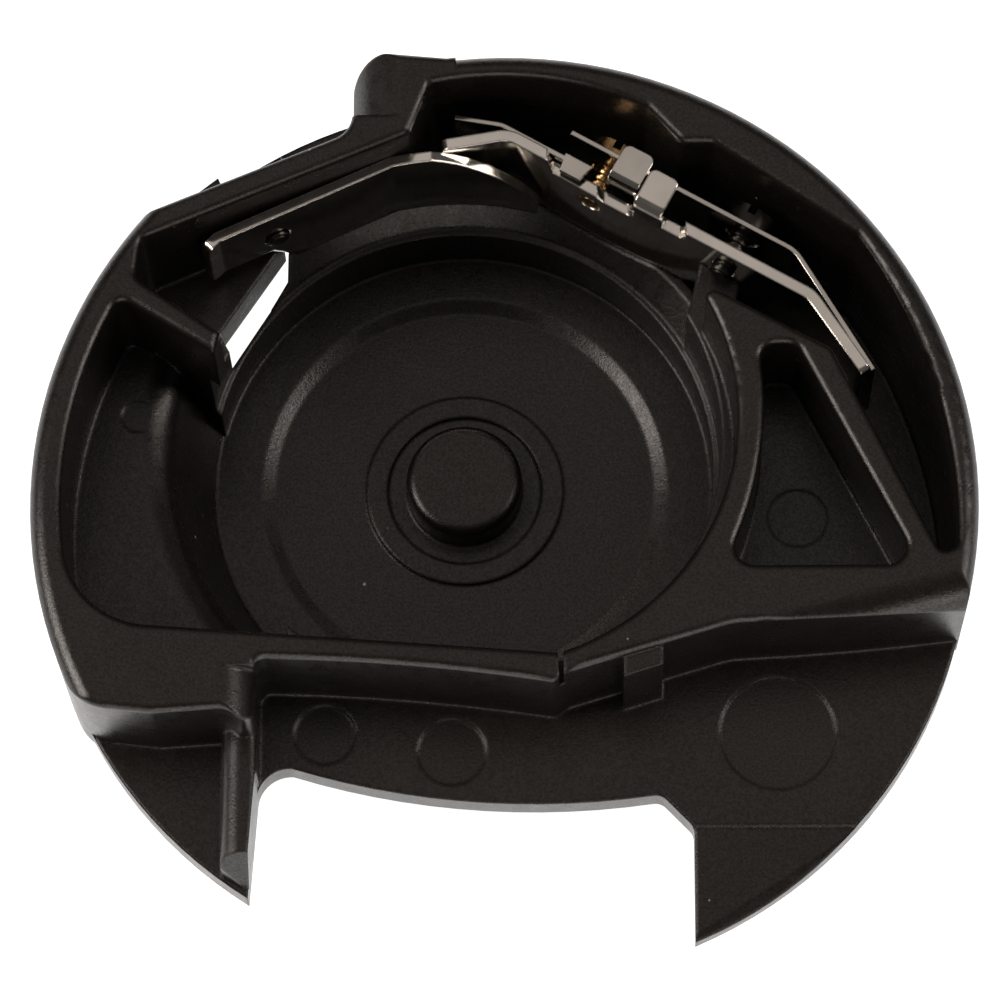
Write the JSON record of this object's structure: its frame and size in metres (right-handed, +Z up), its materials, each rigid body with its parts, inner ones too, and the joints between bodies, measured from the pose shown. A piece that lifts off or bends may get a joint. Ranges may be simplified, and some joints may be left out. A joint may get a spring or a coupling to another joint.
{
  "type": "drop-in bobbin case",
  "caption": "Round bobbin case for a drop-in rotary hook: open well with a locating boss, finger scoop, thread tension springs with adjusting screw, needle opening between two horns.",
  "frame": {"origin": "on the hook axis at the underside of the cup", "axes": "+Z up out of the open side, +Y towards the spring channel, -Y towards the needle opening between the two horns"},
  "size_m": [0.0388, 0.037, 0.0124],
  "materials": {
    "black_plastic": "satin moulded",
    "spring_steel": "bright spring steel",
    "black_screw": "black oxide",
    "plain_screw": "turned",
    "brass": "turned"
  },
  "bodies": {
    "case": {"case_body": "black_plastic", "steel_disc": "plain_screw", "guide_plate": "spring_steel", "guide_plate_screw": "plain_screw", "tension_plate": "spring_steel", "leaf_screw": "black_screw"},
    "adjusting_screw": {"adjusting_screw": "brass"},
    "tension_leaf": {"tension_leaf": "spring_steel"},
    "rebound_leaf": {"rebound_leaf": "spring_steel"}
  },
  "joints": [
    {"name": "adjusting_screw_turn", "type": "hinge", "parent": "case", "child": "adjusting_screw", "pos_m": [0.00369, 0.01447, 0.0082], "axis": [-0.5, -0.866, 0], "range_deg": [0, 360]},
    {"name": "tension_leaf_flex", "type": "hinge", "parent": "case", "child": "tension_leaf", "pos_m": [0.01532, 0.00597, 0.0077], "axis": [0, 0, 1], "range_deg": [0, 1.4]},
    {"name": "rebound_leaf_flex", "type": "hinge", "parent": "case", "child": "rebound_leaf", "pos_m": [0.00169, 0.01611, 0.0086], "axis": [0, 0, 1], "range_deg": [0, 3], "stiffness_Nm_per_rad": 0.02}
  ],
  "couplings": [
    {"joint": "tension_leaf_flex", "follows": "adjusting_screw_turn", "ratio": 0.003589}
  ]
}
